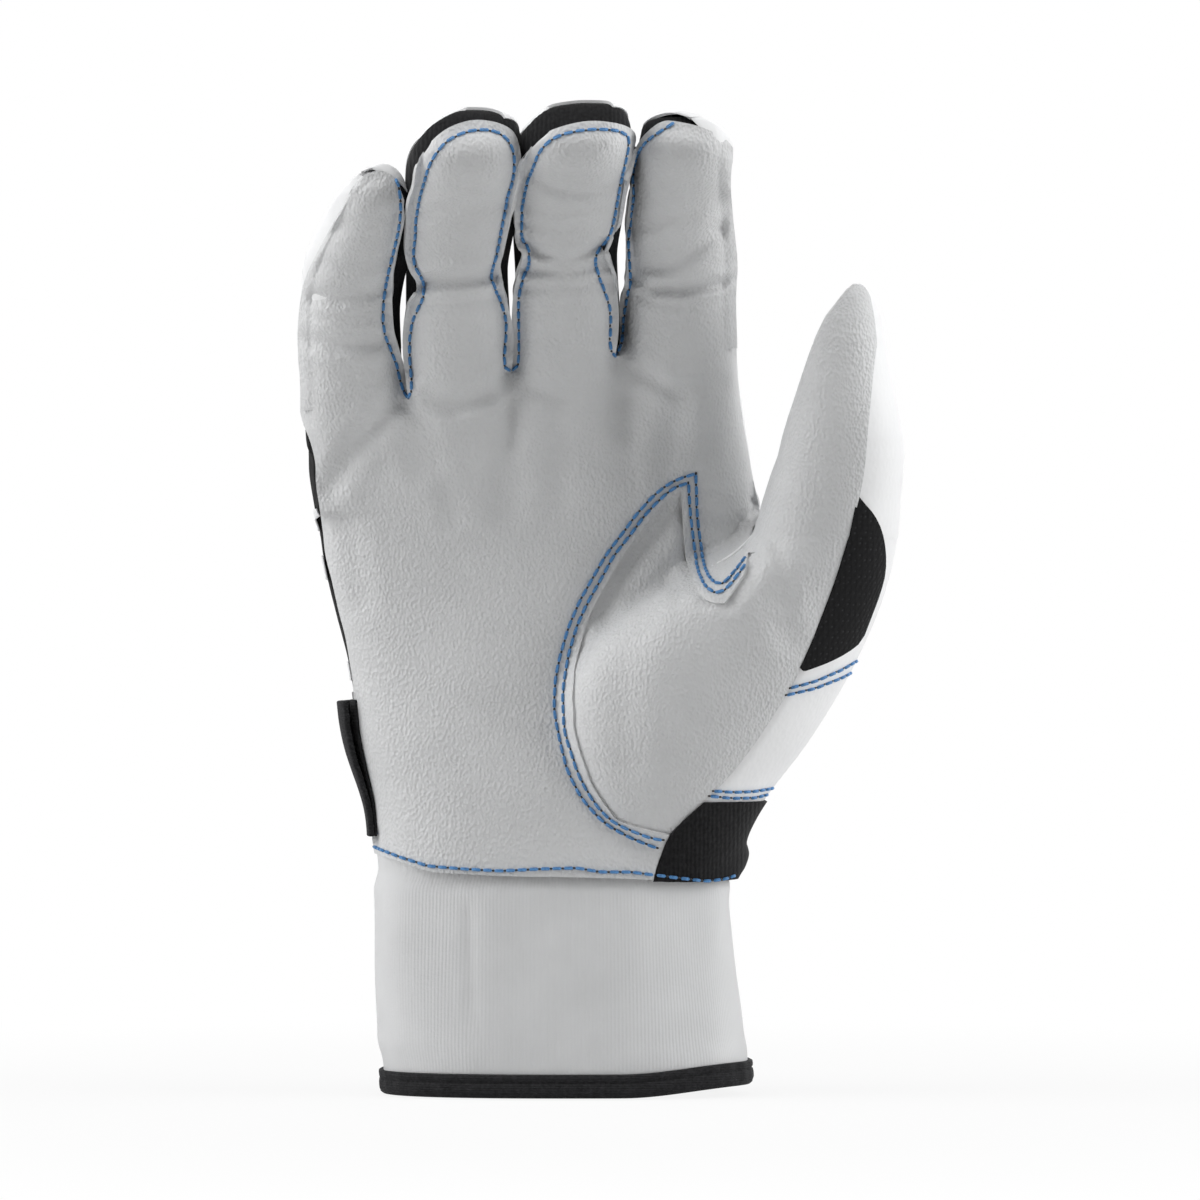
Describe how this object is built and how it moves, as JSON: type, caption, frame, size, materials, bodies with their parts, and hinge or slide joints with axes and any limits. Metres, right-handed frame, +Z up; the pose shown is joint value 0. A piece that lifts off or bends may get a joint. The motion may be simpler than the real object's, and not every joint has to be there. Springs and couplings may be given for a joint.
{
  "type": "batting glove",
  "caption": "Right-hand batting glove seen palm first: fingers half curled, leather palm and thumb, knit finger sides, a wrist strap and a long knit cuff.",
  "frame": {"origin": "under the middle of the glove's breadth and depth, on the surface that the cuff hem stands on", "axes": "+Z up along the hand from cuff to fingertips, +X towards the thumb, -Y the way the palm faces"},
  "size_m": [0.1274, 0.0834, 0.2103],
  "materials": {
    "palm_leather": "soft pebbled light grey leather",
    "back_leather": "smooth white synthetic leather",
    "black_knit": "black stretch knit",
    "air_mesh": "black open air mesh",
    "cuff_knit": "pale grey ribbed knit",
    "binding": "black woven binding tape",
    "strap_webbing": "black bonded strap",
    "tab_rubber": "moulded black rubber",
    "hook_and_loop": "black hook and loop tape",
    "stitch_thread": "blue and black sewing thread"
  },
  "bodies": {
    "hand": {"back_bar_1": "back_leather", "back_bar_2": "back_leather", "back_bar_3": "back_leather", "back_knit": "black_knit", "back_leather": "back_leather", "cuff": "cuff_knit", "cuff_binding": "binding", "index_knuckle_knit": "black_knit", "loop_patch": "hook_and_loop", "middle_knuckle_knit": "black_knit", "palm_leather": "palm_leather", "pinky_knuckle_knit": "black_knit", "ring_knuckle_knit": "black_knit", "slit_gusset_1": "black_knit", "slit_gusset_2": "black_knit", "slit_gusset_3": "black_knit", "strap_anchor": "strap_webbing", "thumb_heel_leather": "palm_leather", "thumb_knuckle_knit": "black_knit", "thumb_mesh_gusset": "air_mesh", "thumb_side_leather": "back_leather", "wrist_gusset": "black_knit"},
    "pinky_base": {"pinky_base_back": "back_leather", "pinky_base_front": "palm_leather", "pinky_base_wall": "black_knit", "pinky_joint_knit": "black_knit"},
    "pinky_end": {"pinky_end_back": "back_leather", "pinky_end_front": "palm_leather", "pinky_end_wall": "black_knit"},
    "ring_base": {"ring_base_back": "back_leather", "ring_base_front": "palm_leather", "ring_base_wall_left": "black_knit", "ring_base_wall_right": "black_knit", "ring_joint_knit": "black_knit"},
    "ring_end": {"ring_end_back": "back_leather", "ring_end_band": "black_knit", "ring_end_front": "palm_leather"},
    "middle_base": {"middle_base_back": "back_leather", "middle_base_front": "palm_leather", "middle_base_wall_left": "black_knit", "middle_base_wall_right": "black_knit", "middle_joint_knit": "black_knit"},
    "middle_end": {"middle_end_back": "back_leather", "middle_end_band": "black_knit", "middle_end_front": "palm_leather"},
    "index_base": {"index_base_back": "back_leather", "index_base_front": "palm_leather", "index_base_wall": "black_knit", "index_joint_knit": "black_knit"},
    "index_end": {"index_end_back": "back_leather", "index_end_front": "palm_leather", "index_end_wall": "black_knit"},
    "thumb_base": {"thumb_base_back": "back_leather", "thumb_base_front": "palm_leather", "thumb_joint_knit": "black_knit"},
    "thumb_end": {"thumb_end_back": "back_leather", "thumb_end_front": "palm_leather"},
    "strap": {"hook_patch": "hook_and_loop", "pull_tab": "tab_rubber", "wrist_strap": "strap_webbing"}
  },
  "joints": [
    {"name": "pinky_flex", "type": "hinge", "parent": "hand", "child": "pinky_base", "pos_m": [-0.05226, -0.00009, 0.15051], "axis": [1, 0, 0], "range_deg": [-22, 60], "deforming": ["pinky_knuckle_knit"]},
    {"name": "pinky_curl", "type": "hinge", "parent": "pinky_base", "child": "pinky_end", "pos_m": [-0.05083, -0.00768, 0.16811], "axis": [1, 0, 0], "range_deg": [-22, 65], "deforming": ["pinky_joint_knit"]},
    {"name": "ring_flex", "type": "hinge", "parent": "hand", "child": "ring_base", "pos_m": [-0.02956, -0.00399, 0.15535], "axis": [1, 0, 0], "range_deg": [-22, 60], "deforming": ["ring_knuckle_knit"]},
    {"name": "ring_curl", "type": "hinge", "parent": "ring_base", "child": "ring_end", "pos_m": [-0.02902, -0.01139, 0.16957], "axis": [1, 0, 0], "range_deg": [-22, 65], "deforming": ["ring_joint_knit"]},
    {"name": "middle_flex", "type": "hinge", "parent": "hand", "child": "middle_base", "pos_m": [-0.00666, -0.00436, 0.15784], "axis": [1, 0, 0], "range_deg": [-22, 60], "deforming": ["middle_knuckle_knit"]},
    {"name": "middle_curl", "type": "hinge", "parent": "middle_base", "child": "middle_end", "pos_m": [-0.00615, -0.01186, 0.17223], "axis": [1, 0, 0], "range_deg": [-22, 65], "deforming": ["middle_joint_knit"]},
    {"name": "index_flex", "type": "hinge", "parent": "hand", "child": "index_base", "pos_m": [0.01694, -0.00314, 0.15771], "axis": [1, 0, 0], "range_deg": [-22, 60], "deforming": ["index_knuckle_knit"]},
    {"name": "index_curl", "type": "hinge", "parent": "index_base", "child": "index_end", "pos_m": [0.01728, -0.00935, 0.17071], "axis": [1, 0, 0], "range_deg": [-22, 65], "deforming": ["index_joint_knit"]},
    {"name": "thumb_flex", "type": "hinge", "parent": "hand", "child": "thumb_base", "pos_m": [0.03828, -0.01306, 0.11901], "axis": [0.848, -0.5299, 0], "range_deg": [-18, 20], "deforming": ["thumb_knuckle_knit", "thumb_mesh_gusset"]},
    {"name": "thumb_curl", "type": "hinge", "parent": "thumb_base", "child": "thumb_end", "pos_m": [0.04458, -0.01714, 0.146], "axis": [0.848, -0.5299, 0], "range_deg": [-18, 40], "deforming": ["thumb_joint_knit"]},
    {"name": "strap_open", "type": "hinge", "parent": "hand", "child": "strap", "pos_m": [-0.05298, 0.01397, 0.069], "axis": [0, 0, 1], "range_deg": [0, 150]}
  ]
}
